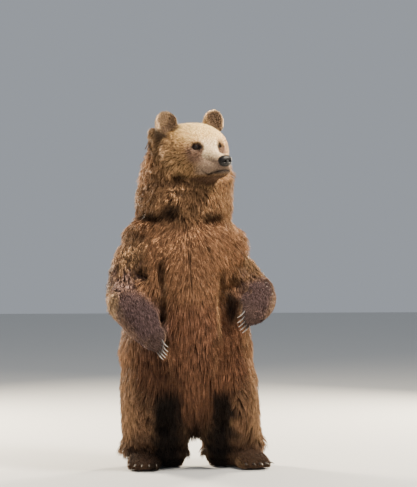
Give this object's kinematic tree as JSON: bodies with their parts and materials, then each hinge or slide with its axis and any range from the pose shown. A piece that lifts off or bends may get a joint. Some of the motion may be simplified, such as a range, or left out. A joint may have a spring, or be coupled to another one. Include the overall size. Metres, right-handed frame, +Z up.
{
  "type": "brown bear",
  "caption": "Life-size still model of a brown bear standing upright on its hind legs, forelegs hanging bent in front, head turned to its left, with a shaggy brown coat.",
  "frame": {"origin": "middle of the model's own box, on the ground that the soles stand on", "axes": "+Z up, -Y the way the chest faces, +X the bear's own left"},
  "size_m": [0.84, 0.7234, 1.7932],
  "materials": {
    "fur": "matte",
    "nose": "satin",
    "eye": "gloss",
    "claw": "satin"
  },
  "bodies": {
    "root": {"head": "fur", "lower_jaw": "fur", "neck": "fur", "chest": "fur", "belly": "fur", "tail": "fur", "ear_left": "fur", "upper_arm_left": "fur", "forearm_left": "fur", "forepaw_left": "fur", "thigh_left": "fur", "shank_left": "fur", "hindfoot_left": "fur", "ear_right": "fur", "upper_arm_right": "fur", "forearm_right": "fur", "forepaw_right": "fur", "thigh_right": "fur", "shank_right": "fur", "hindfoot_right": "fur", "eye_left": "eye", "eye_right": "eye", "nose": "nose", "fore_claw_left_1": "claw", "fore_claw_left_2": "claw", "fore_claw_left_3": "claw", "fore_claw_left_4": "claw", "fore_claw_left_5": "claw", "fore_claw_right_1": "claw", "fore_claw_right_2": "claw", "fore_claw_right_3": "claw", "fore_claw_right_4": "claw", "fore_claw_right_5": "claw", "hind_claw_left_1": "claw", "hind_claw_left_2": "claw", "hind_claw_left_3": "claw", "hind_claw_left_4": "claw", "hind_claw_left_5": "claw", "hind_claw_right_1": "claw", "hind_claw_right_2": "claw", "hind_claw_right_3": "claw", "hind_claw_right_4": "claw", "hind_claw_right_5": "claw"}
  },
  "joints": []
}
